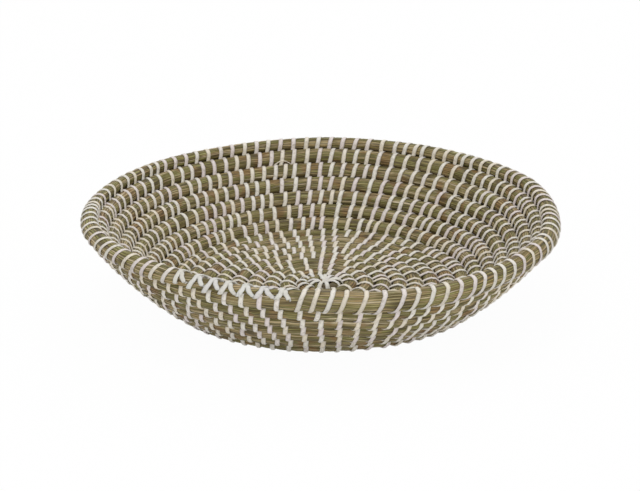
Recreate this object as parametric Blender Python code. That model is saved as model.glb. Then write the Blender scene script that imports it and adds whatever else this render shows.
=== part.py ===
# Coiled grass bowl: a bundle of grass wound into a flat floor and a flaring wall, its
# thick rim whipped with flat white cord, whose last wraps are locked by a row of crosses.
# The origin is the middle of the underside. Lengths are in metres and +Z is up.

import math

import bmesh
import bpy
import numpy as np
from mathutils import Vector

mm = 0.001
degree = math.pi / 180
turn = 2 * math.pi

# Grass bundle, wound anticlockwise from the middle
row_pitch = 12.0 * mm  # from one round to the next, along the floor or the wall
round_gap = 0.6 * mm  # left between two rounds
bundle_thickness = 13.6 * mm  # through the floor or the wall
points_per_round = 21
rounds_below_rim = 15

# Middle of the floor, where the bundle starts thin
start_azimuth = -98.7 * degree  # where each round starts, a little left of the front
first_distance = 4.3 * mm  # from the middle to the centre of round 0
start_lead = 0.45  # turns before round 0 at which the bundle starts
start_width = 3.4 * mm

# Section of the floor and the wall, followed by the centre of the bundle
floor_radius = 100.0 * mm
bend_length = 12.0 * mm  # over which the floor turns up into the wall
wall_foot_angle = 36.7 * degree
wall_curve_radius = 273.0 * mm

# Rim round: it starts thick, runs thinner to the left side and ends in a tapered tail
rim_start_width = 12.3 * mm
rim_start_thickness = 14.0 * mm
rim_back_width = 7.4 * mm
rim_back_thickness = 12.6 * mm
rim_left_width = 5.5 * mm
rim_left_thickness = 11.6 * mm
tail_tip_width = 2.0 * mm
tail_tip_thickness = 3.6 * mm
rim_back_turn = 0.5  # turns after the rim's start at which it reaches its size at the back
rim_left_turn = 0.91  # and its size on the left, where the tail starts
tail_end_turn = 0.985
swell_lead = 0.06  # turns before the rim's start at which the bundle swells
swell_end = 0.02  # and after it

# Flat white cord
cord_width = 3.0 * mm
cord_thickness = 1.2 * mm
cord_clearance = 0.5 * mm  # between the cord and the bundle that it goes round
rim_wrap_count = 92
tail_margin = 0.004  # turns of the tail's tip left bare
whipping_lead = 0.01  # turns before the rim's start at which the whipping starts
corner_count = 6  # of the bundle's section, and points of the cord in each wrap

# Second cord that comes back over the last wraps, on the tail, and makes a row of crosses
cross_count = 7
crossing_clearance = 0.3 * mm  # between the two cords

# Star of stitches over the start of the coil
star_arm_count = 8
star_clearance = 0.3 * mm
star_hub_radius = 3.0 * mm
star_dip = 2.6 * mm  # how far each foot dips between the first two rounds
star_foot_width = 2.0 * mm

# The bundle runs on through the whole bowl, and is parted here by narrow joints
joint_gap = 0.3 * mm

# Finishes
grass_color = (0.36, 0.30, 0.16)
rim_grass_color = (0.40, 0.34, 0.19)
cord_color = (0.80, 0.77, 0.72)
grass_roughness = 0.75
cord_roughness = 0.55
sharp_angle = 50 * degree

bundle_width = row_pitch - round_gap
whipping_channel = cord_thickness + 2 * cord_clearance
crossing_offset = cord_clearance + cord_thickness + crossing_clearance
crossing_channel = crossing_offset + cord_thickness + cord_clearance
rim_start = float(rounds_below_rim)
tail_start = rim_start + rim_left_turn
tail_end = rim_start + tail_end_turn
whipped_from = rim_start - whipping_lead
whipped_to = tail_end - tail_margin
crossed_from = whipped_to - (whipped_to - whipped_from) * cross_count / rim_wrap_count
least_gaps = {}


def blend(first, second, share):
    return first + (second - first) * share


def profile_point(distance):
    # Radius, height above the floor's middle plane and slope at a distance along the section
    if distance <= floor_radius:
        return distance, 0.0, 0.0
    bend_radius = bend_length / wall_foot_angle
    slope = min((distance - floor_radius) / bend_radius, wall_foot_angle)
    radius = floor_radius + bend_radius * math.sin(slope)
    height = bend_radius * (1 - math.cos(slope))
    past_bend = distance - floor_radius - bend_length
    if past_bend > 0:
        foot = slope
        slope += past_bend / wall_curve_radius
        radius += wall_curve_radius * (math.sin(slope) - math.sin(foot))
        height += wall_curve_radius * (math.cos(foot) - math.cos(slope))
    return radius, height, slope


def section_width(rounds):
    # Along the floor or the wall, at this many rounds from the start
    places = [-start_lead, 1 - start_lead, rim_start - swell_lead, rim_start + swell_end]
    sizes = [start_width, bundle_width, bundle_width, rim_start_width]
    places += [rim_start + rim_back_turn, tail_start, tail_end]
    sizes += [rim_back_width, rim_left_width, tail_tip_width]
    return float(np.interp(rounds, places, sizes))


def section_thickness(rounds):
    places = [rim_start - swell_lead, rim_start + swell_end]
    sizes = [bundle_thickness, rim_start_thickness]
    places += [rim_start + rim_back_turn, tail_start, tail_end]
    sizes += [rim_back_thickness, rim_left_thickness, tail_tip_thickness]
    return float(np.interp(rounds, places, sizes))


def outer_edge(rounds):
    # Distance along the profile from the middle to the bundle's side nearer the rim
    if rounds <= rim_start - swell_lead:
        return first_distance + rounds * row_pitch + bundle_width / 2
    return inner_edge(rounds) + section_width(rounds)


def inner_edge(rounds):
    # And to its side nearer the middle, which leaves room at the rim for the cords
    if rounds <= rim_start - swell_lead:
        return outer_edge(rounds) - section_width(rounds)
    places = [rim_start - swell_lead, rim_start - whipping_lead]
    places += [rim_start + rim_back_turn, tail_start]
    gaps = [round_gap, whipping_channel, whipping_channel, crossing_channel]
    return outer_edge(rounds - 1) + float(np.interp(rounds, places, gaps))


def section_corners(width, thickness, offset):
    # Hexagon, flat above and below, counted from the rim side towards the inside of the bowl
    outline = np.array(
        [
            (width / 2, 0),
            (width / 4, thickness / 2),
            (-width / 4, thickness / 2),
            (-width / 2, 0),
            (-width / 4, -thickness / 2),
            (width / 4, -thickness / 2),
        ]
    )
    edges = np.roll(outline, -1, axis=0) - outline
    normals = np.column_stack([edges[:, 1], -edges[:, 0]])
    normals /= np.linalg.norm(normals, axis=1)[:, None]
    before = np.roll(normals, 1, axis=0)
    turned = 1 + (normals * before).sum(axis=1)
    return outline + offset * (normals + before) / turned[:, None]


def station(rounds, offset):
    # The corners of the section at this many rounds, moved outwards by the offset
    # It leans as the profile does under its inner side, so that the floor's edge stays down
    distance = (inner_edge(rounds) + outer_edge(rounds)) / 2
    width = section_width(rounds)
    radius, height, _ = profile_point(distance)
    slope = profile_point(distance - width / 4)[2]
    azimuth = start_azimuth + rounds * turn
    flat = section_corners(width, section_thickness(rounds), offset)
    out = radius + flat[:, 0] * math.cos(slope) - flat[:, 1] * math.sin(slope)
    up = height + flat[:, 0] * math.sin(slope) + flat[:, 1] * math.cos(slope)
    up += bundle_thickness / 2
    return np.column_stack([out * math.cos(azimuth), out * math.sin(azimuth), up])


def section_at(rounds, offset=0.0):
    # Straight between the stations of a round, so that what lies on the bundle meets its facets
    place = rounds * points_per_round
    low = math.floor(place)
    first = station(low / points_per_round, offset)
    second = station((low + 1) / points_per_round, offset)
    return blend(first, second, place - low)


def mid_facet(rounds):
    # The nearest place where the bundle runs straight on both sides
    return (math.floor(rounds * points_per_round) + 1 / 2) / points_per_round


def rings_between(start, end):
    first = math.floor(start * points_per_round) + 1
    last = math.ceil(end * points_per_round)
    stations = [count / points_per_round for count in range(first, last)]
    return [section_at(rounds) for rounds in [start, *stations, end]]


def least_gap(rings, skipped):
    # Between points on rings that are more than the skipped number of rings apart
    halves = [blend(one, two, 1 / 2) for one, two in zip(rings, rings[1:])]
    points = np.concatenate([ring for pair in zip(rings, halves) for ring in pair])
    sides = len(rings[0])
    nearest = math.inf
    for index in range(0, len(points) - sides, sides):
        others = points[index + 2 * sides * skipped :]
        if len(others):
            apart = others[None] - points[index : index + sides][:, None]
            nearest = min(nearest, float(np.linalg.norm(apart, axis=2).min()))
    return nearest


def make_material(name, color, roughness):
    material = bpy.data.materials.new(name)
    material.use_nodes = True
    shader = material.node_tree.nodes["Principled BSDF"]
    shader.inputs["Base Color"].default_value = (*color, 1.0)
    shader.inputs["Roughness"].default_value = roughness
    shader.inputs["Metallic"].default_value = 0.0
    material.diffuse_color = (*color, 1.0)
    return material


def add_object(name, bm, material):
    bmesh.ops.recalc_face_normals(bm, faces=bm.faces)
    mesh = bpy.data.meshes.new(name)
    bm.to_mesh(mesh)
    bm.free()
    mesh.materials.append(material)
    mesh.shade_smooth()
    mesh.set_sharp_from_angle(angle=sharp_angle)
    made = bpy.data.objects.new(name, mesh)
    bpy.context.scene.collection.objects.link(made)
    return made


def tube(rings):
    # One closed tube through the rings, its side faces first
    bm = bmesh.new()
    rows = [[bm.verts.new(point) for point in ring] for ring in rings]
    sides = len(rows[0])
    for one, two in zip(rows, rows[1:]):
        for side in range(sides):
            after = (side + 1) % sides
            bm.faces.new((one[side], one[after], two[after], two[side]))
    bm.faces.new(rows[0])
    bm.faces.new(rows[-1][::-1])
    return bm


def make_coil(name, start, end, material):
    rings = rings_between(start, end)
    least_gaps[name] = least_gap(rings, points_per_round // 2)
    return add_object(name, tube(rings), material)


def joint_half(rounds):
    # Half of a joint's gap, in turns
    radius = profile_point((inner_edge(rounds) + outer_edge(rounds)) / 2)[0]
    return joint_gap / 2 / (turn * radius)


def cord_ring(rounds, corner, inner_offset):
    # Four corners of the flat cord where it bends over a corner of the bundle's section
    rim_radius = profile_point(outer_edge(rounds))[0]
    half_turns = cord_width / 2 / (turn * rim_radius)
    sides = ((-1, 0), (1, 0), (1, cord_thickness), (-1, cord_thickness))
    outlines = [
        section_at(rounds + side * half_turns, inner_offset + height) for side, height in sides
    ]
    return np.array([outline[corner] for outline in outlines])


def wind(name, first, last, wraps, direction, offset, material):
    # Cord wound round the rim, climbing its outside or coming down it by the direction. It
    # starts at the low corner on the outside, the last but one.
    steps = wraps * corner_count
    rings = []
    for step in range(steps + 1):
        corner = (direction * step - 2) % corner_count
        rings.append(cord_ring(blend(first, last, step / steps), corner, offset))
    least_gaps[name] = least_gap(rings, corner_count // 2)
    return add_object(name, tube(rings), material)


def make_star(material):
    # Eight arms that leave a small hub, widen over the first round and dip behind it
    sides = 2 * star_arm_count
    low = bundle_thickness + star_clearance
    azimuths = [start_azimuth + turn * (side - 1 / 2) / sides for side in range(sides)]
    around = np.array([(math.cos(a), math.sin(a), 0) for a in azimuths]) * star_hub_radius
    bm = tube([around + (0, 0, low), around + (0, 0, low + cord_thickness)])
    for arm, face in enumerate(list(bm.faces)[:sides:2]):
        rounds = arm / star_arm_count
        azimuth = start_azimuth + turn * rounds
        away = np.array([math.cos(azimuth), math.sin(azimuth), 0])
        across = np.array([-math.sin(azimuth), math.cos(azimuth), 0])
        crest = outer_edge(rounds) - section_width(rounds) / 4
        groove = outer_edge(rounds) + round_gap / 2
        for reach, drop, width in ((crest, 0, cord_width), (groove, star_dip, star_foot_width)):
            face = bmesh.ops.extrude_discrete_faces(bm, faces=[face])["faces"][0]
            for rank, vertex in enumerate(sorted(face.verts, key=lambda v: v.co.z)):
                side = math.copysign(width / 2, vertex.co @ Vector(across))
                height = low - drop + cord_thickness * (rank > 1)
                vertex.co = away * reach + across * side + (0, 0, height)
    return add_object("start_stitches", bm, material)


for old in list(bpy.data.objects):
    bpy.data.objects.remove(old)

floor_grass = make_material("floor_grass", grass_color, grass_roughness)
lower_wall_grass = make_material("lower_wall_grass", grass_color, grass_roughness)
upper_wall_grass = make_material("upper_wall_grass", grass_color, grass_roughness)
rim_grass = make_material("rim_grass", rim_grass_color, grass_roughness)
rim_cord = make_material("rim_cord", cord_color, cord_roughness)
crossing_cord = make_material("crossing_cord", cord_color, cord_roughness)
star_cord = make_material("star_cord", cord_color, cord_roughness)

floor_joint = mid_facet((floor_radius - first_distance) / row_pitch)
rim_joint = mid_facet(rim_start - swell_lead) - 1 / points_per_round
wall_joint = mid_facet((floor_joint + rim_joint) / 2)
floor_half, wall_half, rim_half = map(joint_half, (floor_joint, wall_joint, rim_joint))
make_coil("floor_coil", -start_lead, floor_joint - floor_half, floor_grass)
make_coil("lower_wall_coil", floor_joint + floor_half, wall_joint - wall_half, lower_wall_grass)
make_coil("upper_wall_coil", wall_joint + wall_half, rim_joint - rim_half, upper_wall_grass)
make_coil("rim_coil", rim_joint + rim_half, tail_end, rim_grass)
wind("rim_whipping", whipped_from, whipped_to, rim_wrap_count, 1, cord_clearance, rim_cord)
wind("cross_lashing", crossed_from, whipped_to, cross_count, -1, crossing_offset, crossing_cord)
make_star(star_cord)
for name, gap in least_gaps.items():
    print(f"{name}: least gap to itself {gap / mm:.2f} mm")
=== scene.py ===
# Coiled grass bowl, sewn with flat white cord. Lengths are in metres, +Z is up, and the
# crosses on the rim lie to the left of the front, which is -Y.
import math

import bpy
import numpy as np
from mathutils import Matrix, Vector


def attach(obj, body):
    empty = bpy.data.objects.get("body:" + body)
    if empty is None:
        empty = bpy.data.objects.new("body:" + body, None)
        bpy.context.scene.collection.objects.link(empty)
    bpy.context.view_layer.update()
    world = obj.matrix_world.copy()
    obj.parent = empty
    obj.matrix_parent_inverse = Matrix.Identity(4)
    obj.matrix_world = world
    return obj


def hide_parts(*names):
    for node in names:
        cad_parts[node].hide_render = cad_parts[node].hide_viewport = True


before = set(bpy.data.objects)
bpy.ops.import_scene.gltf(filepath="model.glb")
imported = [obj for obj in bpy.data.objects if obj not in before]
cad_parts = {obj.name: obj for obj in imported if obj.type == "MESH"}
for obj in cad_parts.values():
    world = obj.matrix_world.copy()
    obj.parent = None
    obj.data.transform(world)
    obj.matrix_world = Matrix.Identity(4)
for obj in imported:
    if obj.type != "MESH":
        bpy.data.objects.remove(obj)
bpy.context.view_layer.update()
mm = 0.001
turn = 2 * math.pi


# Small helpers for numbers, node trees and meshes
def inMm(*values):
    return [value * mm for value in values]


def unit(vectors):
    return vectors / np.linalg.norm(vectors, axis=1)[:, None]


def travelled(points):
    # How far each point lies along the line through them all
    return np.concatenate([[0], np.cumsum(np.linalg.norm(np.diff(points, axis=0), axis=1))])


def addNode(tree, kind, inputs=None, **settings):
    made = tree.nodes.new(kind)
    for name, value in settings.items():
        setattr(made, name, value)
    for key, value in (inputs or {}).items():
        plug(tree, made.inputs[key], value)
    return made


def outputOf(tree, kind, inputs=None, **settings):
    return addNode(tree, kind, inputs, **settings).outputs[0]


def plug(tree, socket, value):
    if isinstance(value, bpy.types.NodeSocket):
        tree.links.new(value, socket)
    else:
        socket.default_value = value


def maths(tree, operation, *values):
    return outputOf(tree, "ShaderNodeMath", dict(enumerate(values)), operation=operation)


def times(tree, first, second):
    return maths(tree, "MULTIPLY", first, second)


def vectorMaths(tree, operation, first, second):
    values = {0: first, "Scale" if operation == "SCALE" else 1: second}
    return outputOf(tree, "ShaderNodeVectorMath", values, operation=operation)


def combine(tree, x, y, z=0.0):
    return outputOf(tree, "ShaderNodeCombineXYZ", {"X": x, "Y": y, "Z": z})


def separate(tree, vector):
    return addNode(tree, "ShaderNodeSeparateXYZ", {"Vector": vector}).outputs


def noise(tree, place, scale=1.0, detail=2.0, flat=False, **inputs):
    values = {"Vector": place, "Scale": scale, "Detail": detail, **inputs}
    kind = "2D" if flat else "3D"
    return addNode(tree, "ShaderNodeTexNoise", values, noise_dimensions=kind).outputs


def fromRange(tree, value, low, high, start=0.0, end=1.0):
    # Goes gently from start to end while the value goes from low to high
    ends = {"Value": value, "From Min": low, "From Max": high, "To Min": start, "To Max": end}
    made = addNode(tree, "ShaderNodeMapRange", ends, interpolation_type="SMOOTHSTEP")
    return made.outputs["Result"]


def named(tree, name, kind="FLOAT"):
    made = addNode(tree, "GeometryNodeInputNamedAttribute", {"Name": name}, data_type=kind)
    return made.outputs["Attribute"]


def namedVector(tree, name):
    return named(tree, name, "FLOAT_VECTOR")


def setPosition(tree, geometry, **where):
    return outputOf(tree, "GeometryNodeSetPosition", {"Geometry": geometry, **where})


def addSocket(tree, label, side, kind):
    return tree.interface.new_socket(label, in_out=side, socket_type="NodeSocket" + kind)


def newTree(name, kind, inputs, outputs):
    # An input is given by its first value, or by its kind if it starts empty
    tree = bpy.data.node_groups.new(name, kind)
    for label, start in inputs.items():
        socket = {int: "Int", float: "Float"}.get(type(start), start)
        made = addSocket(tree, label, "INPUT", socket)
        if socket != start:
            made.default_value = start
    for label, socket in outputs.items():
        addSocket(tree, label, "OUTPUT", socket)
    given, result = tree.nodes.new("NodeGroupInput"), tree.nodes.new("NodeGroupOutput")
    return tree, given.outputs, result.inputs


def newShapeTree(name, sizes):
    shape = {"Geometry": "Geometry"}
    return newTree(name, "GeometryNodeTree", {**shape, **sizes, "Material": "Material"}, shape)


def endTree(tree, geometry, given, result):
    smooth = outputOf(tree, "GeometryNodeSetShadeSmooth", {"Geometry": geometry})
    values = {"Geometry": smooth, "Material": given["Material"]}
    plug(tree, result["Geometry"], outputOf(tree, "GeometryNodeSetMaterial", values))
    return tree


def pointMesh(name, points, edges=(), **attributes):
    # Points that carry numbers and directions, for a tree to build on
    mesh = bpy.data.meshes.new(name)
    mesh.from_pydata([tuple(point) for point in points], list(edges), [])
    for label, values in attributes.items():
        values = np.asarray(values, dtype=np.float32)
        kind, field = ("FLOAT_VECTOR", "vector") if values.ndim == 2 else ("FLOAT", "value")
        mesh.attributes.new(label, kind, "POINT").data.foreach_set(field, values.ravel())
    return mesh


def addObject(name, data):
    made = bpy.data.objects.new(name, data)
    bpy.context.scene.collection.objects.link(made)
    return made


def grow(name, mesh, tree, values):
    # Runs a tree on a mesh and keeps what it makes as a plain mesh object
    seed = addObject(name, mesh)
    modifier = seed.modifiers.new(name, "NODES")
    modifier.node_group = tree
    for item in tree.interface.items_tree:
        if item.in_out == "INPUT" and item.name in values:
            modifier[item.identifier] = values[item.name]
    graph = bpy.context.evaluated_depsgraph_get()
    made = bpy.data.meshes.new_from_object(seed.evaluated_get(graph), depsgraph=graph)
    bpy.data.objects.remove(seed)
    made.name = name
    print(name, len(made.polygons), "faces")
    return addObject(name, made)


def finishPiece(piece, slot, *nodes):
    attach(piece, "root")
    if nodes:
        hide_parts(*nodes)


# Shape of the bowl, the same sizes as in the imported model
bowl = {
    "rowPitch": 12.0 * mm,
    "firstDistance": 4.3 * mm,
    "startAzimuth": math.radians(-98.7),
    "startLead": 0.45,
    "startWidth": 3.4 * mm,
    "floorRadius": 100.0 * mm,
    "bendLength": 12.0 * mm,
    "footAngle": math.radians(36.7),
    "wallCurve": 273.0 * mm,
    "middleHeight": 6.8 * mm,
    # Half of the bundle's thickness, up to the first of these rounds and from the second
    "thickFrom": [8.0, 9.0],
    "halfThicknesses": inMm(5.85, 6.2),
    "rimStart": 15.0,
    # One length of the bundle ends and the next starts at these rounds
    "joints": [7.975, 11.456],
    # How much tighter, or below zero looser, the coil is sewn at these azimuths in degrees,
    # from nothing at the first of the rounds to all of it from the second
    "tightAt": [0, 9, 22, 40, 90, 120, 165, 200, 338, 350, 360],
    "tight": inMm(1.8, 0.6, -1.2, 0, 0.4, 3, 3, 0, 0, 1.8, 1.8),
    "tightFrom": [7.0, 10.0],
    # The wall hangs lower at the right of the front, fully from the second distance outwards
    "sagAt": [266, 275, 282, 290, 302, 312, 322, 332],
    "sag": inMm(0, 1.0, 2.8, 3.4, 3.4, 2.2, 1.2, 0),
    "sagFrom": inMm(122.0, 150.0),
}

# From the end of the wall to the tip of the tail: places in rounds, and the size there
rim = {
    "places": [14.93, 15.0, 15.27, 15.5, 15.92, 16.0],
    "widths": inMm(12.0, 14.5, 10.9, 9.3, 9.2, 0.8),
    "halfThicknesses": inMm(6.2, 6.9, 6.6, 6.3, 5.9, 1.6),
}


def profileAt(distance):
    # Radius, height and slope at a distance from the middle, along the floor and up the wall
    bend = bowl["bendLength"] / bowl["footAngle"]
    foot = np.clip((distance - bowl["floorRadius"]) / bend, 0, bowl["footAngle"])
    past = np.clip(distance - bowl["floorRadius"] - bowl["bendLength"], 0, None)
    slope = foot + past / bowl["wallCurve"]
    radius = np.minimum(distance, bowl["floorRadius"]) + bend * np.sin(foot)
    radius = radius + bowl["wallCurve"] * (np.sin(slope) - np.sin(foot))
    height = bend * (1 - np.cos(foot)) + bowl["wallCurve"] * (np.cos(foot) - np.cos(slope))
    return radius, height, slope


def azimuthAt(rounds):
    return bowl["startAzimuth"] + rounds * turn


def degreesAt(rounds):
    return np.degrees(azimuthAt(rounds)) % 360


def directionsAt(rounds):
    # Outwards from the middle, and along the round
    cosine, sine = np.cos(azimuthAt(rounds)), np.sin(azimuthAt(rounds))
    zero = np.zeros_like(cosine)
    return np.stack([cosine, sine, zero], axis=-1), np.stack([-sine, cosine, zero], axis=-1)


def widthAt(rounds):
    start = -bowl["startLead"]
    early = np.interp(rounds, [start, start + 1], [bowl["startWidth"], bowl["rowPitch"]])
    late = np.interp(rounds, rim["places"], rim["widths"])
    return np.where(rounds < rim["places"][0], early, late)


def outerEdge(rounds):
    rounds = np.asarray(rounds, dtype=float)
    tight = np.interp(degreesAt(rounds), bowl["tightAt"], bowl["tight"], left=0, right=0)
    tight = tight * np.interp(rounds, bowl["tightFrom"], [0, 1])
    plain = bowl["firstDistance"] + (rounds + 0.5) * bowl["rowPitch"]
    if rounds.max(initial=0) <= rim["places"][0]:
        return plain - tight
    # The rim lies on the round beneath it
    stacked = outerEdge(rounds - 1) + widthAt(rounds)
    return np.where(rounds <= rim["places"][0], plain - tight, stacked)


def halfThicknessAt(rounds):
    lower = np.interp(rounds, bowl["thickFrom"], bowl["halfThicknesses"])
    upper = np.interp(rounds, rim["places"], rim["halfThicknesses"])
    return np.where(rounds < rim["places"][0], lower, upper)


def sectionAt(rounds):
    # Centre, directions and half sizes of the bundle
    width = widthAt(rounds)
    distance = outerEdge(rounds) - width / 2
    radius, height, _ = profileAt(distance)
    slope = profileAt(distance - width / 4)[2]
    sag = np.interp(degreesAt(rounds), bowl["sagAt"], bowl["sag"], left=0, right=0)
    height = height - sag * np.interp(distance, bowl["sagFrom"], [0, 1])
    out, along = directionsAt(rounds)
    up = np.zeros_like(out)
    up[..., 2] = 1
    sine, cosine = np.sin(slope)[..., None], np.cos(slope)[..., None]
    return {
        "centre": out * radius[..., None] + up * (height + bowl["middleHeight"])[..., None],
        "side": out * cosine + up * sine,
        "rise": up * cosine - out * sine,
        "along": along,
        "halfWidth": width / 2,
        "halfThickness": halfThicknessAt(rounds),
        "radius": radius,
    }


# Where the stitches go, from the middle outwards as a maker sews
sewing = {
    "seed": 11,
    "firstRound": 8,
    # Stitches in a round, where they can't be seen
    "countAt": [0.5, 1.5, 2.5, 3.5, 4.5, 5.5, 6.5, 7.5, 8.5, 9.5, 10.5, 12.5, 14.5, 15.5],
    "counts": [8.2, 14.5, 21, 29, 37, 44, 50, 56, 63, 72, 76, 82, 88, 93],
    # Share of the way that a stitch is drawn to the one beneath it, and the most in steps
    "pull": 0.35,
    "mostPull": 0.1,
    "uneven": 0.35 * mm,
    # This many stitches before a seen one are spaced evenly, a little wide if need be
    "even": 5,
    "reserve": 0.25,
    # The rows start this far past the first round, and the rim's wraps past its start
    "starGap": 0.05,
    "rimGap": 0.005,
    # Azimuths of the crosses on the rim, in degrees
    "crosses": [-123.9, -119.0, -115.1, -111.4, -107.3, -103.2, -98.6],
}

# Stitches that can be seen, by round: the azimuth of the first and the step to each next one,
# in tenths of a degree. They run from the right over the back to the left, and before that
# over the front where the first is below zero
seenStitches = {
    1: [77, 249, 152, 234, 204, 184, 194, 216, 253],
    2: [150, 202, 182, 228, 142, 172, 214, 206, 302],
    3: [40, 91, 114, 149, 128, 112, 148, 111, 153, 164, 104, 108, 121, 113],
    4: [30, 102, 102, 76, 92, 112, 103, 75, 98, 96, 70, 86, 97, 105, 98, 98, 114, 146, 80],
    5: [33, 120, 87, 82, 95, 49, 74, 78, 76, 54, 58, 76, 73, 55, 57, 63, 64, 62, 78, 52, 72, 80,
        72, 80, 80],
    6: [35, 86, 69, 64, 78, 80, 66, 63, 75, 72, 62, 70, 62, 70, 59, 65, 68, 66, 60, 67, 63, 75,
        66, 91, 100],
    7: [22, 52, 66, 52, 63, 73, 80, 68, 84, 58, 64, 65, 85, 58, 61, 58, 66, 63, 74, 64, 60, 49,
        49, 58, 56, 66, 76],
    8: [34, 77, 61, 38, 44, 60, 42, 38, 69, 53, 52, 55, 55, 64, 41, 56, 54, 59, 60, 59, 47, 47,
        56, 61, 70, 55, 61, 56, 54, 56, 57, 58],
    9: [18, 52, 51, 53, 48, 31, 41, 41, 42, 41, 52, 54, 48, 53, 49, 32, 38, 48, 51, 53, 34, 40,
        48, 56, 44, 48, 50, 61, 39, 37, 45, 58, 50, 31, 47, 50, 61, 62],
    10: [-1450, 59, 59, 44, 46, 54, 58, 49, 45, 42, 48, 54, 46, 50, 56, 54, 45, 37, 46, 46, 48,
        46, 54, 51, 329, 48, 41, 42, 32, 31, 35, 45, 38, 43, 43, 46, 31, 37, 44, 44, 46, 42, 45,
        41, 49, 54, 39, 44, 42, 56, 49, 49, 46, 31, 37, 40, 40, 48, 52, 47, 45, 39, 37, 46, 43,
        43, 42],
    11: [-1486, 55, 41, 53, 44, 56, 58, 46, 53, 44, 42, 48, 48, 50, 52, 51, 52, 42, 38, 43, 50,
        41, 54, 56, 59, 328, 31, 55, 50, 46, 37, 43, 42, 42, 42, 44, 42, 35, 44, 43, 42, 44, 44,
        42, 47, 31, 34, 39, 41, 44, 50, 33, 33, 40, 40, 36, 38, 39, 43, 49, 52, 48, 45, 41, 45,
        41, 45, 44, 30],
    12: [-1464, 38, 37, 49, 52, 44, 49, 42, 39, 35, 41, 43, 48, 47, 49, 49, 48, 60, 40, 36, 40,
        46, 40, 60, 44, 43, 359, 32, 62, 46, 38, 38, 43, 43, 46, 40, 44, 46, 40, 42, 39, 39, 45,
        43, 48, 40, 38, 36, 36, 43, 47, 46, 37, 35, 38, 38, 36, 40, 39, 41, 44, 30, 35, 45, 43,
        36, 37, 42, 44, 34, 41],
    13: [-1488, 42, 40, 56, 38, 52, 56, 44, 41, 41, 42, 42, 46, 47, 49, 47, 46, 42, 36, 39, 38,
        45, 47, 51, 41, 42, 43, 351, 44, 33, 33, 30, 36, 36, 44, 37, 27, 29, 37, 42, 44, 42, 41,
        39, 41, 41, 42, 28, 34, 36, 35, 36, 36, 41, 28, 31, 37, 38, 36, 38, 36, 36, 38, 38, 42,
        42, 37, 37, 40, 40, 37, 37, 40, 44, 34, 36],
    14: [-1488, 37, 40, 43, 52, 44, 37, 29, 47, 39, 40, 42, 42, 46, 44, 50, 49, 47, 46, 41, 38,
        38, 42, 45, 46, 46, 47, 36, 369, 36, 40, 31, 24, 33, 37, 35, 32, 34, 33, 35, 38, 46, 40,
        41, 39, 40, 40, 41, 35, 34, 36, 34, 36, 36, 38, 34, 32, 36, 35, 36, 37, 39, 37, 38, 35,
        41, 46, 38, 38, 41, 40, 41, 36, 44, 25, 41, 48],
    15: [-1362, 48, 40, 36, 36, 40, 40, 41, 42, 41, 54, 30, 35, 31, 45, 43, 45, 35, 37, 37, 37,
        39, 30, 32, 32, 38, 39, 41, 38, 42, 33, 53, 44, 40, 37, 29, 28, 42, 34, 29, 29, 31, 37,
        40, 28, 38, 34, 36, 34, 30, 27, 36, 37, 36, 22, 29, 33, 40, 37, 35, 38, 34, 34, 35, 37,
        34, 35, 35, 34, 38, 36, 40, 35, 37, 39, 37, 29, 29, 34, 38, 34, 40, 42, 40, 42, 34, 32,
        23, 25, 38, 41, 43, 36, 44, 40, 34, 30, 34, 40, 35, 31, 29, 37],
}


def placeOf(row, degrees):
    return row + (math.radians(degrees) - bowl["startAzimuth"]) / turn


crossPlaces = np.array([placeOf(bowl["rimStart"] + 1, angle) for angle in sewing["crosses"]])


def sewnPlaces():
    dice = np.random.default_rng(sewing["seed"])
    places = [arm / sewing["firstRound"] for arm in range(sewing["firstRound"])]
    seen = []
    for row, steps in seenStitches.items():
        seen += [placeOf(row, tenths / 10) for tenths in np.cumsum(steps)]
    lower = 0
    for coming in sorted(seen):
        while True:
            here = places[-1]
            step = 1 / float(np.interp(here, sewing["countAt"], sewing["counts"]))
            left = round((coming - here) / step - sewing["reserve"])
            if left <= 1:
                places.append(coming)
                break
            if left <= sewing["even"]:
                places.append(here + (coming - here) / left)
                continue
            # The next stitch is drawn towards the nearest one of the round beneath
            while places[lower] + 1 < here + step / 2 and lower < len(places) - 2:
                lower += 1
            spacing = places[lower] - places[lower - 1] if lower else step
            stray = places[lower] + 1 - (here + step)
            stray -= spacing * round(stray / spacing)
            most = step * sewing["mostPull"]
            pull = min(max(stray * sewing["pull"], -most), most)
            length = turn * float(profileAt(outerEdge(here) - bowl["rowPitch"] / 2)[0])
            places.append(here + step + pull + float(dice.normal()) * sewing["uneven"] / length)
    return np.array(places)


places = sewnPlaces()
rimStart = bowl["rimStart"] + sewing["rimGap"]
rowStart = places[sewing["firstRound"] - 1] + sewing["starGap"]
rowPlaces = places[(places >= rowStart) & (places < rimStart)]
rimPlaces = places[places >= rimStart]
print(len(rowPlaces), "stitches below the rim and", len(rimPlaces), "on it")


# Grass bundles
grass = {
    "around": 80,
    "squareness": 2.06,  # 2 is an ellipse
    "stemWidth": 1.9 * mm,
    "stemLength": 70.0 * mm,
    "stemDepth": 0.75 * mm,
    "pinch": 0.35 * mm,
    # Each round is this much wider than its room, so that the rounds press together
    "press": 0.15 * mm,
    # Stems sway over the bundle, in stem lengths and widths
    "wanderScale": (2.0, 0.35, 0.35),
    "sway": (0.0, 1.6, 1.6),
    "smoothness": 0.25,
    "stemRadius": 0.45,  # where a stem is neither raised nor sunk
    # Share of the half width at which the groove's shade starts and is full
    "groove": (0.72, 0.97),
    "weld": 0.002 * mm,
    "ringsPerStitch": 3,
    "ringsPerRound": 40,
    # A stitch this close to a length's start is left out of its squeezed rings, in rounds
    "leastStep": 0.004,
}


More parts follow.
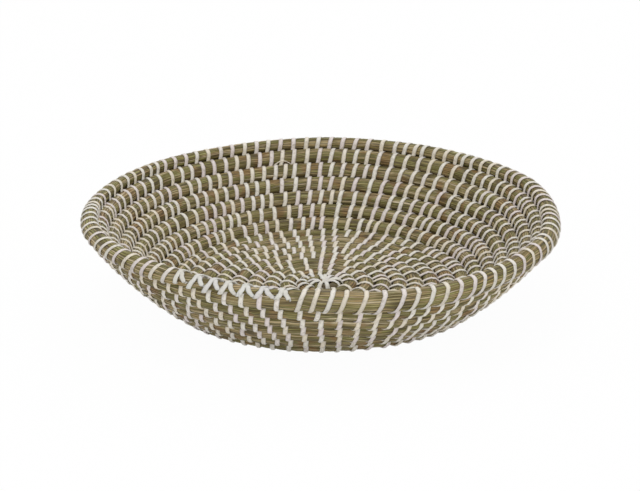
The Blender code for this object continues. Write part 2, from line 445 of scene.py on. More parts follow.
def bundleTree():
    sizes = {
        "Points Around": grass["around"],
        "Squareness": grass["squareness"],
        "Stem Width": grass["stemWidth"],
        "Stem Length": grass["stemLength"],
        "Stem Depth": grass["stemDepth"],
        "Pinch": grass["pinch"],
        "Outer Groove": 1.0,
    }
    tree, given, result = newShapeTree("grassBundle", sizes)
    path = given["Geometry"]

    def wholeMaths(operation, first, second):
        values = {0: first, 1: second}
        return outputOf(tree, "FunctionNodeIntegerMath", values, operation=operation)

    # A grid with one row for each ring of the path
    rings = addNode(tree, "GeometryNodeAttributeDomainSize", {"Geometry": path}).outputs
    columns = wholeMaths("ADD", given["Points Around"], 1)
    counts = {"Vertices X": rings["Point Count"], "Vertices Y": columns}
    grid = outputOf(tree, "GeometryNodeMeshGrid", counts)
    index = tree.nodes.new("GeometryNodeInputIndex").outputs[0]
    ring = wholeMaths("DIVIDE_FLOOR", index, columns)
    column = wholeMaths("MODULO", index, columns)

    def sampled(label, kind="FLOAT"):
        values = {"Geometry": path, "Value": named(tree, label, kind), "Index": ring}
        return outputOf(tree, "GeometryNodeSampleIndex", values, data_type=kind)

    centre = sampled("position", "FLOAT_VECTOR")
    side, rise = sampled("side", "FLOAT_VECTOR"), sampled("rise", "FLOAT_VECTOR")
    travel, squeeze, fullness = sampled("travel"), sampled("squeeze"), sampled("fullness")

    # The seam lies in the groove nearer the middle
    share = maths(tree, "DIVIDE", column, given["Points Around"])
    angle = maths(tree, "MULTIPLY_ADD", share, turn, math.pi)
    power = maths(tree, "DIVIDE", 2.0, given["Squareness"])
    across, through = maths(tree, "COSINE", angle), maths(tree, "SINE", angle)

    def rounded(value):
        bent = maths(tree, "POWER", maths(tree, "ABSOLUTE", value), power)
        return times(tree, bent, maths(tree, "SIGN", value))

    # Stems: long cells that run with the bundle
    run = maths(tree, "DIVIDE", travel, given["Stem Length"])
    length = addNode(tree, "ShaderNodeVectorMath", {0: side}, operation="LENGTH")
    sizeAcross = length.outputs["Value"]
    girth = maths(tree, "DIVIDE", sizeAcross, given["Stem Width"])
    place = combine(tree, run, times(tree, across, girth), times(tree, through, girth))
    wander = noise(tree, vectorMaths(tree, "MULTIPLY", place, grass["wanderScale"]))
    sway = vectorMaths(tree, "MULTIPLY", wander["Color"], grass["sway"])
    swayed = vectorMaths(tree, "ADD", place, sway)
    values = {"Vector": swayed, "Scale": 1.0, "Smoothness": grass["smoothness"]}
    cells = addNode(tree, "ShaderNodeTexVoronoi", values, feature="SMOOTH_F1")
    relief = maths(tree, "SUBTRACT", grass["stemRadius"], cells.outputs["Distance"])
    relief = times(tree, relief, given["Stem Depth"])
    relief = maths(tree, "SUBTRACT", relief, times(tree, squeeze, given["Pinch"]))
    groove = fromRange(tree, maths(tree, "ABSOLUTE", across), *grass["groove"])
    outer = times(tree, maths(tree, "GREATER_THAN", across, 0.0), groove)
    free = maths(tree, "SUBTRACT", 1.0, given["Outer Groove"])
    groove = maths(tree, "SUBTRACT", groove, times(tree, outer, free))
    swell = maths(tree, "ADD", 1.0, maths(tree, "DIVIDE", relief, sizeAcross))
    swell = times(tree, swell, fullness)
    reach = vectorMaths(tree, "SCALE", side, times(tree, rounded(across), swell))
    lift = vectorMaths(tree, "SCALE", rise, times(tree, rounded(through), swell))
    spot = vectorMaths(tree, "ADD", centre, vectorMaths(tree, "ADD", reach, lift))

    def onCorners(geometry, label, value):
        kind = {"data_type": "FLOAT_VECTOR", "domain": "POINT"}
        spread = outputOf(tree, "GeometryNodeFieldOnDomain", {"Value": value}, **kind)
        values = {"Geometry": geometry, "Name": label, "Value": spread}
        kind = {"data_type": "FLOAT2", "domain": "CORNER"}
        return outputOf(tree, "GeometryNodeStoreNamedAttribute", values, **kind)

    around = times(tree, times(tree, share, sizeAcross), turn)
    placed = setPosition(tree, grid, Position=spot)
    mapped = onCorners(placed, "UVMap", combine(tree, travel, around))
    mapped = onCorners(mapped, "shade", combine(tree, groove, squeeze))
    values = {"Geometry": mapped, "Distance": grass["weld"]}
    closed = outputOf(tree, "GeometryNodeMergeByDistance", values)
    return endTree(tree, closed, given, result)


def bundlePath(name, first, last):
    # Rings from stitch to stitch, the first of them squeezed, and a closed end at each side
    sewn = places[(places > first) & (places < last)]
    crossed = crossPlaces[(crossPlaces > first) & (crossPlaces < last)]
    sewn = sewn[(sewn - first) > grass["leastStep"]]
    knots = np.concatenate([[first], sewn, crossed, [last]])
    rounds, squeeze = [], []
    for one, two in zip(knots, knots[1:]):
        steps = grass["ringsPerStitch"]
        if one < 1:  # the tightest round
            steps = max(steps, round((two - one) * grass["ringsPerRound"]))
        rounds += [one + (two - one) * step / steps for step in range(steps)]
        squeeze += [1.0] + [0.0] * (steps - 1)
    rounds, squeeze = np.array(rounds + [last]), np.array(squeeze + [0.0])
    squeeze[0] = 0.0
    section = sectionAt(rounds)
    count = len(rounds)
    order = np.concatenate([[0], np.arange(count), [count - 1]])
    fullness = np.concatenate([[0.0], np.ones(count), [0.0]])
    centre = section["centre"][order]
    # The travel runs on from one length of the bundle to the next, for the stems' pattern
    travel = turn * (bowl["firstDistance"] * first + bowl["rowPitch"] * first**2 / 2)
    halfWidth = section["halfWidth"][order] + grass["press"]
    return pointMesh(
        name,
        centre,
        side=section["side"][order] * halfWidth[:, None],
        rise=section["rise"][order] * section["halfThickness"][order][:, None],
        travel=travel + travelled(centre),
        squeeze=squeeze[order],
        fullness=fullness,
    )


# Flat cord
cord = {
    "width": 3.4 * mm,
    "thickness": 1.0 * mm,
    "slack": 0.35 * mm,
    "waverScale": 170.0,
    "corners": 6,
    "toneStep": 0.37,  # from one arm of a cross or the star to the next
    # One stitch from its outer foot over the top to its inner foot: how far towards the rim and
    # how high on the bundle, in half widths and half thicknesses
    "rowOutline": [
        (-1.3, -0.3), (-1.08, -0.52), (-0.62, -0.785), (-0.1, -0.995), (0.45, -0.893),
        (0.9, -0.436), (0.97, 0.24), (0.8, 0.6), (0.42, 0.908), (-0.1, 0.995),
        (-0.6, 0.8), (-0.94, 0.58), (-1.16, 0.46), (-1.34, 0.22),
    ],
    "rimOutline": [
        (-1.24, -0.22), (-1.06, -0.5), (-0.85, -0.62), (-0.62, -0.785), (-0.34, -0.94),
        (0.0, -1.0), (0.34, -0.94), (0.62, -0.785), (0.84, -0.54), (0.97, -0.25),
        (1.0, 0.0), (0.97, 0.25), (0.84, 0.54), (0.62, 0.785), (0.34, 0.94),
        (0.0, 1.0), (-0.34, 0.94), (-0.62, 0.785), (-0.9, 0.62), (-1.16, 0.5),
        (-1.36, 0.26),
    ],
    # By shares of a stitch, the outer foot sweeps back and the cord is wider outside
    "footAt": [0.0, 0.08, 0.16, 0.25],
    "footSweep": inMm(-0.6, -0.4, -0.1, 0),
    "flatAt": [0.0, 0.4, 0.6],
    "flat": [1.14, 1.14, 1.0],
    # The bundle that the outlines fit, before they are scaled to each place
    "halfWidth": 6.0 * mm,
    "halfThickness": 6.3 * mm,
    "sink": 0.12 * mm,
    "leanInside": 3.2 * mm,
    # Outside, stitches lean more at the right of the front, by azimuth in degrees
    "leanAt": [262, 275, 290, 330, 350],
    "leanOutside": inMm(2.6, 4.2, 9.5, 10.5, 3.0),
    "rimLeanOutside": inMm(6.4, 9.0, 12.0, 11.5, 6.0),
    "mostLean": 0.62,
    "leanUneven": 0.5 * mm,
}
cordSizes = {"Cord Width": cord["width"], "Cord Thickness": cord["thickness"]}


def cordTree():
    sizes = {"Stitch": "Object", **cordSizes, "Slack": cord["slack"]}
    tree, given, result = newShapeTree("sewnCord", sizes)
    shape = addNode(tree, "GeometryNodeObjectInfo", {"Object": given["Stitch"]})
    band = sweep(tree, shape.outputs["Geometry"], given)
    along, fit = namedVector(tree, "along"), namedVector(tree, "fit")
    axes = {"Primary Axis": along, "Secondary Axis": namedVector(tree, "inward")}
    kind = {"primary_axis": "X", "secondary_axis": "Y"}
    turned = outputOf(tree, "FunctionNodeAxesToRotation", axes, **kind)
    values = {"Points": given["Geometry"], "Instance": band, "Rotation": turned, "Scale": fit}
    placed = outputOf(tree, "GeometryNodeInstanceOnPoints", values)
    real = outputOf(tree, "GeometryNodeRealizeInstances", {"Geometry": placed})

    # Each stitch leans forwards, up the outside and down the inside
    middle = maths(tree, "MULTIPLY_ADD", named(tree, "share"), 2.0, -1.0)
    lowest = maths(tree, "MAXIMUM", middle, -cord["mostLean"])
    outside = times(tree, maths(tree, "MINIMUM", lowest, 0.0), named(tree, "leanOut"))
    inside = times(tree, maths(tree, "MAXIMUM", middle, 0.0), named(tree, "leanIn"))
    lean = vectorMaths(tree, "SCALE", along, maths(tree, "ADD", outside, inside))
    here = tree.nodes.new("GeometryNodeInputPosition").outputs[0]
    waver = noise(tree, here, cord["waverScale"], 1.0)
    stray = vectorMaths(tree, "SUBTRACT", waver["Color"], (0.5, 0.5, 0.5))
    stray = vectorMaths(tree, "SCALE", stray, given["Slack"])
    moved = setPosition(tree, real, Offset=vectorMaths(tree, "ADD", lean, stray))
    # Nothing goes below what the bowl stands on
    spot = separate(tree, here)
    above = combine(tree, spot["X"], spot["Y"], maths(tree, "MAXIMUM", spot["Z"], 0.0))
    rested = setPosition(tree, moved, Position=above)
    return endTree(tree, rested, given, result)


def sweep(tree, lines, given):
    # A flat cord along edges, its back to the bundle
    curve = outputOf(tree, "GeometryNodeMeshToCurve", {"Mesh": lines})
    values = {"Curve": curve, "Normal": namedVector(tree, "lift")}
    upright = outputOf(tree, "GeometryNodeSetCurveNormal", values, mode="FREE")
    values = {"Resolution": cord["corners"], "Radius": 0.5}
    ring = outputOf(tree, "GeometryNodeCurvePrimitiveCircle", values)
    height = math.sin(turn / cord["corners"])
    thick = maths(tree, "DIVIDE", given["Cord Thickness"], height)
    size = combine(tree, given["Cord Width"], thick, 1.0)
    values = {"Geometry": ring, "Rotation": (0, 0, math.pi / 2), "Scale": size}
    flat = outputOf(tree, "GeometryNodeTransform", values)
    values = {"Curve": upright, "Profile Curve": flat, "Fill Caps": True}
    return outputOf(tree, "GeometryNodeCurveToMesh", values)


def pathTree():
    tree, given, result = newShapeTree("cordPath", cordSizes)
    return endTree(tree, sweep(tree, given["Geometry"], given), given, result)


def stitchShape(name, outline):
    # The stitch's middle line about a bundle of the usual size, local Y towards the middle
    raised = cord["thickness"] / 2 - cord["sink"]
    size = np.array([cord["halfWidth"], cord["halfThickness"]])
    points = np.array([(0, -side, rise) for side, rise in outline]) * [0, *size]
    run = unit(np.gradient(points, axis=0))
    lift = np.stack([np.zeros(len(run)), -run[:, 2], run[:, 1]], axis=1)
    if lift[len(lift) // 2][1] > 0:
        lift = -lift
    points = points + lift * raised
    share = np.linspace(0, 1, len(points))
    points[:, 0] = np.interp(share, cord["footAt"], cord["footSweep"])
    edges = [(index, index + 1) for index in range(len(points) - 1)]
    flat = np.interp(share, cord["flatAt"], cord["flat"])
    mesh = pointMesh(name, points, edges, lift=lift, share=share, radius=flat)
    return addObject(name, mesh)


def stitchPoints(name, rounds, leanOut, seed):
    dice = np.random.default_rng(seed)
    leanOut = np.interp(degreesAt(rounds), cord["leanAt"], leanOut)
    section = sectionAt(rounds)
    uneven = dice.normal(0, cord["leanUneven"], (2, len(rounds)))
    fit = np.ones((len(rounds), 3))
    fit[:, 1] = section["halfWidth"] / cord["halfWidth"]
    fit[:, 2] = section["halfThickness"] / cord["halfThickness"]
    return pointMesh(
        name,
        section["centre"],
        along=section["along"],
        inward=-section["side"],
        fit=fit,
        leanIn=cord["leanInside"] + uneven[0],
        leanOut=leanOut + uneven[1],
        tone=dice.uniform(0, 1, len(rounds)),
    )


def pathMesh(name, lines):
    # Each line is a list of points with the direction that the cord's face looks in
    points, lifts, edges, tones = [], [], [], []
    for number, line in enumerate(lines):
        edges += [(len(points) + i, len(points) + i + 1) for i in range(len(line) - 1)]
        points += [point for point, _ in line]
        lifts += [lift for _, lift in line]
        tones += [(number * cord["toneStep"]) % 1] * len(line)
    return pointMesh(name, points, edges, lift=np.array(lifts), tone=tones)


def newMaterial(name):
    material = bpy.data.materials.new(name)
    material.use_nodes = True
    tree = material.node_tree
    return material, tree, tree.nodes["Principled BSDF"].inputs


def mixColor(tree, share, first, second):
    values = {0: share, 6: first, 7: second}
    return addNode(tree, "ShaderNodeMix", values, data_type="RGBA").outputs[2]


def bump(tree, height, strength, distance):
    values = {"Height": height, "Strength": strength, "Distance": distance}
    return outputOf(tree, "ShaderNodeBump", values)


stem = {
    "length": 45.0 * mm,
    "width": 1.3 * mm,
    "fibreWidth": 0.45 * mm,
    # Scales per metre, along the bundle and across it
    "driftScale": (28.0, 90.0),
    "drift": 4.0 * mm,
    "patchScale": (55.0, 60.0),
    "fibreScale": 35.0,
    "fibreDetail": 3.0,
    "fibreRoughness": 0.6,
    # Over which the gap at a stem's edge ends and its side rises, in cells
    "gap": (0.02, 0.2),
    "flat": (0.0, 0.4),
    "fibreHeight": 0.35,
}


def stemGroup():
    inputs = {
        "Vector": "Vector",
        "Stem Length": stem["length"],
        "Stem Width": stem["width"],
        "Fibre Width": stem["fibreWidth"],
    }
    outputs = dict.fromkeys(("Stem Tone", "Gap", "Fibre", "Patch", "Height"), "Float")
    tree, given, result = newTree("grassStems", "ShaderNodeTree", inputs, outputs)
    travel, around, _ = separate(tree, given["Vector"])

    def smoothNoise(across, scales):
        run = times(tree, travel, scales[0])
        spot = combine(tree, run, times(tree, across, scales[1]))
        return noise(tree, spot, detail=1.0, flat=True)["Fac"]

    # The stems drift to and fro over the bundle
    drift = smoothNoise(around, stem["driftScale"])
    around = maths(tree, "MULTIPLY_ADD", drift, stem["drift"], around)
    run = maths(tree, "DIVIDE", travel, given["Stem Length"])
    cell = combine(tree, run, maths(tree, "DIVIDE", around, given["Stem Width"]))

    def cells(feature):
        kind = {"voronoi_dimensions": "2D", "feature": feature}
        made = addNode(tree, "ShaderNodeTexVoronoi", {"Vector": cell, "Scale": 1.0}, **kind)
        return made.outputs

    tone = outputOf(tree, "ShaderNodeSeparateColor", {"Color": cells("F1")["Color"]})
    edge = cells("DISTANCE_TO_EDGE")["Distance"]
    run = times(tree, travel, stem["fibreScale"])
    spot = combine(tree, run, maths(tree, "DIVIDE", around, given["Fibre Width"]))
    rough = stem["fibreRoughness"]
    fibre = noise(tree, spot, detail=stem["fibreDetail"], flat=True, Roughness=rough)["Fac"]
    bulge = fromRange(tree, edge, *stem["flat"])
    for label, value in {
        "Stem Tone": tone,
        "Gap": fromRange(tree, edge, *stem["gap"], 1.0, 0.0),
        "Fibre": fibre,
        "Patch": smoothNoise(around, stem["patchScale"]),
        "Height": maths(tree, "MULTIPLY_ADD", fibre, stem["fibreHeight"], bulge),
    }.items():
        plug(tree, result[label], value)
    return tree


grassLook = {
    "olive": (0.18, 0.153, 0.038, 1),
    "green": (0.24, 0.222, 0.064, 1),
    "khaki": (0.29, 0.24, 0.092, 1),
    "tan": (0.4, 0.315, 0.158, 1),
    "straw": (0.64, 0.55, 0.37, 1),
    "brown": (0.29, 0.172, 0.062, 1),
    "coilStartShadow": (0.085, 0.055, 0.028, 1),
    "shadow": (0.045, 0.028, 0.006, 1),
    # Stems go from olive to straw over these
    "stops": [(0.25, "green"), (0.5, "khaki"), (0.72, "tan"), (0.93, "tan")],
    # Where the patches' noise turns the grass brown and olive, and how much
    "brownPatch": (0.55, 0.68),
    "brownShare": 0.75,
    "olivePatch": (0.32, 0.47),
    "oliveShare": 0.6,
    # From and to in the fibres' noise, and the value there: dark streaks are deeper in colour
    "streaks": (0.32, 0.68, 1.55, 0.70),
    "roughness": (0.3, 0.8, 0.75, 0.55),
    "gapShade": 0.85,
    "grooveShade": 0.9,
    # Painted shadow: the stretch at the start of the coil, in the hollow under the star, is
    # darkened, with soft ends
    "dark": inMm(9.5, 19.5),
    "darkEnd": 1.0 * mm,
    "darkShare": 0.75,
    "bump": (0.6, 0.4 * mm),
}


def grassMaterial(name, brown=grassLook["brownShare"], stemLength=stem["length"], dark=False):
    material, tree, shader = newMaterial(name)
    place = outputOf(tree, "ShaderNodeUVMap", uv_map="UVMap")
    shade = outputOf(tree, "ShaderNodeUVMap", uv_map="shade")
    values = {"Vector": place, "Stem Length": stemLength}
    stems = addNode(tree, "ShaderNodeGroup", values, node_tree=stemTree).outputs
    ramp = addNode(tree, "ShaderNodeValToRGB", {"Fac": stems["Stem Tone"]})
    stops = ramp.color_ramp.elements
    stops[0].color, stops[1].color = grassLook["olive"], grassLook["straw"]
    for position, tint in grassLook["stops"]:
        stops.new(position).color = grassLook[tint]
    color = ramp.outputs["Color"]
    share = fromRange(tree, stems["Patch"], *grassLook["brownPatch"], 0.0, brown)
    color = mixColor(tree, share, color, grassLook["brown"])
    most = grassLook["oliveShare"]
    share = fromRange(tree, stems["Patch"], *grassLook["olivePatch"], most, 0.0)
    color = mixColor(tree, share, color, grassLook["olive"])
    streak = fromRange(tree, stems["Fibre"], *grassLook["streaks"])
    color = outputOf(tree, "ShaderNodeGamma", {"Color": color, "Gamma": streak})
    # Painted shadow over the start of the coil
    if dark:
        travel = separate(tree, place)["X"]
        (first, last), soft = grassLook["dark"], grassLook["darkEnd"]
        begun = fromRange(tree, travel, first - soft, first + soft)
        over = fromRange(tree, travel, last - soft, last + soft, 1.0, 0.0)
        share = times(tree, times(tree, begun, over), grassLook["darkShare"])
        color = mixColor(tree, share, color, grassLook["coilStartShadow"])
    gap = times(tree, stems["Gap"], grassLook["gapShade"])
    groove = times(tree, separate(tree, shade)["X"], grassLook["grooveShade"])
    gap = maths(tree, "MAXIMUM", gap, groove)
    plug(tree, shader["Base Color"], mixColor(tree, gap, color, grassLook["shadow"]))
    rough = fromRange(tree, stems["Fibre"], *grassLook["roughness"])
    plug(tree, shader["Roughness"], rough)
    plug(tree, shader["Normal"], bump(tree, stems["Height"], *grassLook["bump"]))
    return material


cordLook = {
    "cream": (0.72, 0.65, 0.53, 1),
    "white": (0.74, 0.71, 0.64, 1),
    "lilac": (0.7, 0.625, 0.605, 1),
    "worn": (0.48, 0.43, 0.36, 1),
    "cool": (0.69, 0.71, 0.69, 1),
    "grain": (480.0, 4.0),  # scale and detail
    "wear": (0.48, 0.7, 0.0, 0.7),
    # The shade on the outside of the rim ends between these shares of a wrap
    "outsideTo": (0.38, 0.56),
    "roughness": 0.45,
    "bump": (0.35, 0.3 * mm),
}


def cordMaterial(name, outside=1.0, cool=0.0):
    material, tree, shader = newMaterial(name)
    tone = addNode(tree, "ShaderNodeAttribute", attribute_name="tone").outputs["Fac"]
    share = fromRange(tree, tone, 0.0, 0.5)
    color = mixColor(tree, share, cordLook["cream"], cordLook["white"])
    color = mixColor(tree, fromRange(tree, tone, 0.5, 1.0), color, cordLook["lilac"])
    place = addNode(tree, "ShaderNodeTexCoord").outputs["Object"]
    grain = noise(tree, place, *cordLook["grain"])["Fac"]
    color = mixColor(tree, fromRange(tree, grain, *cordLook["wear"]), color, cordLook["worn"])
    color = mixColor(tree, cool, color, cordLook["cool"])
    if outside < 1:
        # Painted shade: the cord is darker on the outside of the rim. Cord without shares, as
        # in the crosses, is painted dark all over
        share = addNode(tree, "ShaderNodeAttribute", attribute_name="share").outputs["Fac"]
        outsideShade = fromRange(tree, share, *cordLook["outsideTo"], outside, 1.0)
        color = vectorMaths(tree, "SCALE", color, outsideShade)
    plug(tree, shader["Base Color"], color)
    plug(tree, shader["Roughness"], cordLook["roughness"])
    plug(tree, shader["Normal"], bump(tree, grain, *cordLook["bump"]))
    return material


stemTree = stemGroup()
floorGrass = grassMaterial("floorGrass", dark=True)
lowerGrass = grassMaterial("lowerWallGrass")
upperGrass = grassMaterial("upperWallGrass")
rimGrass = grassMaterial("rimGrass", brown=0.3, stemLength=80.0 * mm)
rowCord = cordMaterial("rowCord")
# The rim's cord and the crosses' cord carry painted shade on the outside
rimCord = cordMaterial("rimCord", outside=0.8)
crossCord = cordMaterial("crossCord", outside=0.88, cool=0.5)
starCord = cordMaterial("starCord", cool=0.4)
print("four kinds of grass and four of cord mixed")


# The grass pieces: from and to in rounds, material, slot and the node that each replaces
bundle = bundleTree()
low, high = bowl["joints"]
rimEnds = rim["places"][0], rim["places"][-1]
lengths = {
    "floorGrass": (-bowl["startLead"], low, floorGrass, "floor_grass", "floor_coil"),
    "lowerWallGrass": (low, high, lowerGrass, "lower_wall_grass", "lower_wall_coil"),
    "upperWallGrass": (high, rimEnds[0], upperGrass, "upper_wall_grass", "upper_wall_coil"),
    "rimGrass": (*rimEnds, rimGrass, "rim_grass", "rim_coil"),
}
for name, (first, last, material, slot, node) in lengths.items():
    # Nothing lies beyond the rim, so it has no groove there
    values = {"Outer Groove": float(name != "rimGrass"), "Material": material}
    piece = grow(name, bundlePath(name, first, last), bundle, values)
    finishPiece(piece, slot, node)

# The sewing: from and to in rounds, and the seed of what is uneven
stitching = cordTree()
rowStitch = stitchShape("rowStitch", cord["rowOutline"])
rimStitch = stitchShape("rimStitch", cord["rimOutline"])


def sew(name, rounds, leanOut, seed, stitch, material, *nodes):
    points = stitchPoints(name, rounds, leanOut, seed)
    piece = grow(name, points, stitching, {"Stitch": stitch, "Material": material})
    finishPiece(piece, "rim_cord", *nodes)


sewnLengths = {
    "floorStitches": (0.0, low, 21),
    "lowerWallStitches": (low, high, 22),
    "upperWallStitches": (high, rimEnds[1], 23),
}
for name, (first, last, seed) in sewnLengths.items():
    rounds = rowPlaces[(rowPlaces > first) & (rowPlaces <= last)]
    sew(name, rounds, cord["leanOutside"], seed, rowStitch, rowCord)
sew("rimWraps", rimPlaces, cord["rimLeanOutside"], 24, rimStitch, rimCord, "rim_whipping")

# Crosses over the end of the coil, each with two arms from one head
crossing = {
    # In millimetres from each marked place: the heads along the rim, and the feet on the
    # outside, how far along the rim and how far down
    "heads": [0.2, -0.2, 0.2, -0.2, -0.3, -0.2, -0.5],
    "leftFeet": [
        (-0.6, 2.6), (-5.8, 4.7), (-6.9, 6.3), (-5.7, 4.4), (-5.3, 3.8), (-5.8, 3.4),
        (-5.5, 2.1),
    ],
    "rightFeet": [
        (7.4, 1.5), (6.0, 1.3), (5.7, 1.8), (6.1, 3.9), (6.3, 3.7), (7.5, 2.9), (3.9, 2.4),
    ],
    # The heads lie just inside the edge, and from there each point down the inside is given
    # as how far down and the share of the way along
    "headDepth": 0.6,
    "inside": [
        (0.6, 0.0), (1.1, 0.25), (2.0, 0.55), (3.2, 0.8), (4.8, 0.95), (6.6, 1.0), (7.4, 1.0),
    ],
    "leftInside": [4.5, 4.5, 4.5, 4.5, 4.5, 4.5, 6.5],
    "rightInside": [-3.0] * 7,
    # The feet sink in, and the left arms lie over the right ones between these depths
    "footDepth": 2.6 * mm,
    "over": 0.9 * mm,
    "overTo": [1, 5],
    # Above this depth the cord also clears the edge
    "edgeDepth": 1.5 * mm,
    "steps": 11,
    "trialSteps": 60,
}


def crossPoints(place, reach, down, inside, lift):
    # Points on the rim, so far along it and down from its edge, on its inside or outside
    rounds = place + reach / (turn * float(sectionAt(place)["radius"]))
    out, along = directionsAt(rounds)
    rounds = np.minimum(rounds, rim["places"][-1])
    # The grass there stands out as far as the coil's end or as the round beneath it
    tail, beneath = widthAt(rounds) / 2, widthAt(rounds - 1) / 2
    tailThick, beneathThick = halfThicknessAt(rounds), halfThicknessAt(rounds - 1)
    # On the outside the cord is drawn tight over the groove between them
    share = np.clip((down - tail) / (tail + beneath), 0, 1)
    tight = tailThick + (beneathThick - tailThick) * share
    stand = np.where((share > 0) & ~inside, tight, 0)
    for half, thick, middle in (
        (tail, tailThick, tail),
        (beneath, beneathThick, 2 * tail + beneath),
    ):
        off = np.clip(np.abs(down - middle) / half, 0, 1)
        stand = np.maximum(stand, thick * np.sqrt(1 - off**2))
    stand = (stand + lift) * np.where(inside, 1, -1)
    over = np.interp(down, [0, crossing["edgeDepth"]], [cord["thickness"], 0])
    radius, height, slope = profileAt(outerEdge(rounds) - down + over)
    points = out * (radius - np.sin(slope) * stand)[:, None]
    points[:, 2] = height + bowl["middleHeight"] + np.cos(slope) * stand
    return points, along


def crossLines(arm, over):
    lines = []
    downs, shares = np.transpose(crossing["inside"])
    for number, place in enumerate(crossPlaces):
        head = crossing["heads"][number]
        reach, down = crossing[arm + "Feet"][number]
        # Even steps from the foot up the outside and over the edge to the head
        bent = np.linspace(1, 0, crossing["trialSteps"]) ** 2
        trial = np.concatenate([down * bent, -crossing["headDepth"] * bent[::-1][1:]])
        points, _ = crossPoints(place, head * mm + 0 * trial, np.abs(trial) * mm, trial < 0, 0)
        run = travelled(points)
        share = np.linspace(0, 1, crossing["steps"], endpoint=False)
        leg = np.interp(share * run[-1], run, trial)
        away = shares * crossing[arm + "Inside"][number]
        across = np.concatenate([(reach - head) * (1 - share), away]) + head
        depth = np.concatenate([leg, -downs])
        above = over * np.interp(np.abs(depth), crossing["overTo"], [1, 0])
        lift = above + cord["thickness"] / 2
        lift[0] -= crossing["footDepth"]
        lift[-1] -= crossing["footDepth"]
        points, along = crossPoints(place, across * mm, np.abs(depth) * mm, depth < 0, lift)
        face = unit(np.cross(np.gradient(points, axis=0), along))
        if face[2] @ (points[2] * [1, 1, 0]) < 0:
            face = -face
        lines.append(list(zip(points, face)))
    return lines


paths = pathTree()
for name, arm, over, nodes in (
    ("crossWraps", "left", crossing["over"], ()),
    ("crossLashing", "right", 0.0, ("cross_lashing",)),
):
    lines = pathMesh(name, crossLines(arm, over))
    piece = grow(name, lines, paths, {"Material": crossCord})
    finishPiece(piece, "crossing_cord", *nodes)

# Star of stitches over the start of the coil, closed round the first round
star = {
    # Arms from the place where they meet: azimuth in degrees and how far out each one ends
    "arms": [
        (-106, 10.4), (-70, 11.0), (-14, 12.9), (13, 14.8), (24, 15.6),
        (58, 15.6), (82, 16.4), (101, 17.0), (174, 11.8), (208, 11.2),
    ],
    # Stitches past the short arms at the left, with how far out each one starts and ends
    "stitches": [
        (126, 10.6, 17.9), (150, 10.4, 18.7), (178, 10.4, 19.6), (205, 10.0, 20.5),
        (231, 10.0, 21.3),
    ],
    "middle": inMm(1.1, 0.9),
    "hubRadius": 1.3 * mm,
    "raised": 0.35 * mm,
    "cordWidth": 3.3 * mm,
    # Share of the way out, and of the way up to the first round's top
    "profile": [(0.0, 0.5), (0.12, 0.84), (0.32, 1.05), (0.6, 1.08), (0.84, 0.9), (1.0, 0.5)],
}


def towards(degrees):
    angle = math.radians(degrees)
    return Vector((math.cos(angle), math.sin(angle), 0))


def starLine(start, end):
    high = bowl["halfThicknesses"][0] + star["raised"]
    away = end - start
    far = away.length
    away.normalize()
    half = [(far * out, high * up) for out, up in star["profile"]]
    loop = half + [(out, -min(up, high)) for out, up in reversed(half)]
    line = []
    for index, (out, up) in enumerate(loop):
        before, after = loop[max(index - 1, 0)], loop[min(index + 1, len(loop) - 1)]
        run = Vector((after[0] - before[0], 0, after[1] - before[1])).normalized()
        face = away * -run.z + Vector((0, 0, run.x))
        line.append((start + away * out + Vector((0, 0, bowl["middleHeight"] + up)), face))
    return line


def starLines():
    centre = Vector((*star["middle"], 0))
    lines = []
    for degrees, reach in star["arms"]:
        end = towards(degrees) * reach * mm
        start = centre + (end - centre).normalized() * star["hubRadius"]
        lines.append(starLine(start, end))
    for degrees, first, last in star["stitches"]:
        away = towards(degrees) * mm
        lines.append(starLine(away * first, away * last))
    return lines


values = {"Cord Width": star["cordWidth"], "Material": starCord}
piece = grow("starStitches", pathMesh("starStitches", starLines()), paths, values)
finishPiece(piece, "star_cord", "start_stitches")

# Two loose ends of cord, a loop on the back wall and a thread under the rim at the front
loose = {
    # From and to in rounds, then in half widths and half thicknesses of the bundle the place
    # of the ends and how far the middle bulges from there
    "loop": {"ends": (13.5647, 13.5497), "across": (0.9, 0.34), "out": (0.42, 0.5)},
    "thread": {"ends": (14.0480, 14.0590), "across": (0.98, 0.02), "out": (-0.62, -0.08)},
    "points": 9,
    "width": 0.9 * mm,
    "thickness": 0.7 * mm,
}


def looseLine(end):
    share = np.linspace(0, 1, loose["points"])
    first, last = end["ends"]
    section = sectionAt(first + (last - first) * share)
    arch = np.sin(math.pi * share)
    across = (end["across"][0] + end["across"][1] * arch) * section["halfWidth"]
    out = (end["out"][0] + end["out"][1] * arch) * section["halfThickness"]
    points = section["centre"] + section["side"] * across[:, None]
    points = points + section["rise"] * out[:, None]
    return list(zip(points, section["rise"]))


lines = pathMesh("looseEnds", [looseLine(loose["loop"]), looseLine(loose["thread"])])
values = {"Cord Width": loose["width"], "Cord Thickness": loose["thickness"]}
finishPiece(grow("looseEnds", lines, paths, {**values, "Material": rowCord}), "rim_cord")

for holder in (rowStitch, rimStitch):
    bpy.data.objects.remove(holder)

# Floor, light and camera
room = {
    "floorSize": 12.0,
    "floorColor": (0.9, 0.9, 0.9, 1),
    # To the camera the floor is this much plain white, and the rest is matte with its shadow
    "whiteShare": 0.97,
    "worldLight": 0.76,
}
lamps = {
    "key": {"power": 11.0, "size": 1.2, "place": (-0.6, -0.6, 2.4)},
    "fill": {"power": 13.0, "size": 1.6, "place": (0.5, -2.3, 0.6)},
    "back": {"power": 8.0, "size": 1.2, "place": (0.5, 1.5, 1.9)},
}


def backgroundRays(tree):
    # Rays from the camera, and those that meet the background in gloss or through glass
    rays = addNode(tree, "ShaderNodeLightPath").outputs
    seen = maths(tree, "MAXIMUM", rays["Is Camera Ray"], rays["Is Glossy Ray"])
    return maths(tree, "MAXIMUM", seen, rays["Is Transmission Ray"])


def cleared(holder):
    holder.use_nodes = True
    holder.node_tree.nodes.clear()
    return holder.node_tree


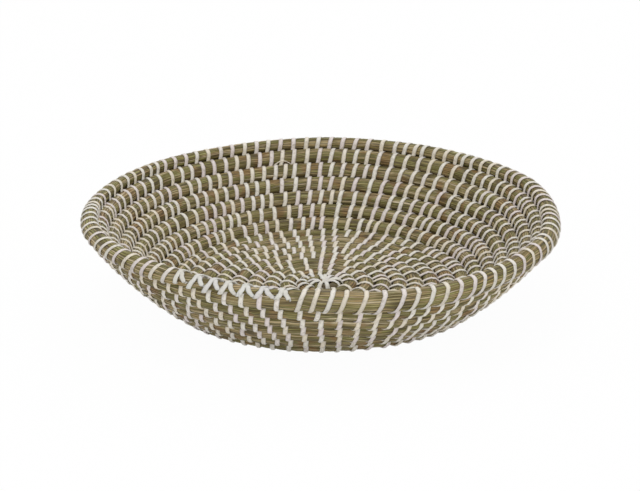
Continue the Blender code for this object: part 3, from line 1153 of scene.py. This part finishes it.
mesh = bpy.data.meshes.new("studioFloor")
half = room["floorSize"] / 2
corners = [(-half, -half, 0), (half, -half, 0), (half, half, 0), (-half, half, 0)]
mesh.from_pydata(corners, [], [(0, 1, 2, 3)])
floor = addObject("studioFloor", mesh)
material = bpy.data.materials.new("studioFloor")
tree = cleared(material)
matte = outputOf(tree, "ShaderNodeBsdfDiffuse", {"Color": room["floorColor"]})
glow = outputOf(tree, "ShaderNodeEmission", {"Color": (1, 1, 1, 1), "Strength": 1.0})
white = times(tree, backgroundRays(tree), room["whiteShare"])
lit = outputOf(tree, "ShaderNodeMixShader", {0: white, 1: matte, 2: glow})
# From below one looks through the floor
under = addNode(tree, "ShaderNodeNewGeometry").outputs["Backfacing"]
clear = outputOf(tree, "ShaderNodeBsdfTransparent")
whole = outputOf(tree, "ShaderNodeMixShader", {0: under, 1: lit, 2: clear})
addNode(tree, "ShaderNodeOutputMaterial", {"Surface": whole})
mesh.materials.append(material)

world = bpy.data.worlds.new("studio")
bpy.context.scene.world = world
tree = cleared(world)
strength = fromRange(tree, backgroundRays(tree), 0.0, 1.0, room["worldLight"], 1.0)
sky = outputOf(tree, "ShaderNodeBackground", {"Color": (1, 1, 1, 1), "Strength": strength})
addNode(tree, "ShaderNodeOutputWorld", {"Surface": sky})

for name, settings in lamps.items():
    lamp = bpy.data.lights.new(name, "AREA")
    lamp.shape, lamp.size, lamp.energy = "DISK", settings["size"], settings["power"]
    holder = addObject(name, lamp)
    holder.location = settings["place"]
    holder.rotation_euler = (-Vector(settings["place"])).to_track_quat("-Z", "Y").to_euler()

view = {
    "target": (-0.0020, 0.0, 0.0401),
    "distance": 1.6706,
    "pitch": 0.352,
    "lens": 130.285,
    "sensorWidth": 36.0,
}
data = bpy.data.cameras.new("camera")
data.lens = view["lens"]
data.sensor_fit = "HORIZONTAL"
data.sensor_width = view["sensorWidth"]
data.clip_start, data.clip_end = 0.05, 40.0
camera = addObject("camera", data)
back = Vector((0, -math.cos(view["pitch"]), math.sin(view["pitch"])))
camera.location = Vector(view["target"]) + back * view["distance"]
camera.rotation_euler = (-back).to_track_quat("-Z", "Y").to_euler()
bpy.context.scene.camera = camera
bpy.context.scene.view_settings.view_transform = "Standard"
print("floor, world,", len(lamps), "lamps and camera placed")

print("bowl built")
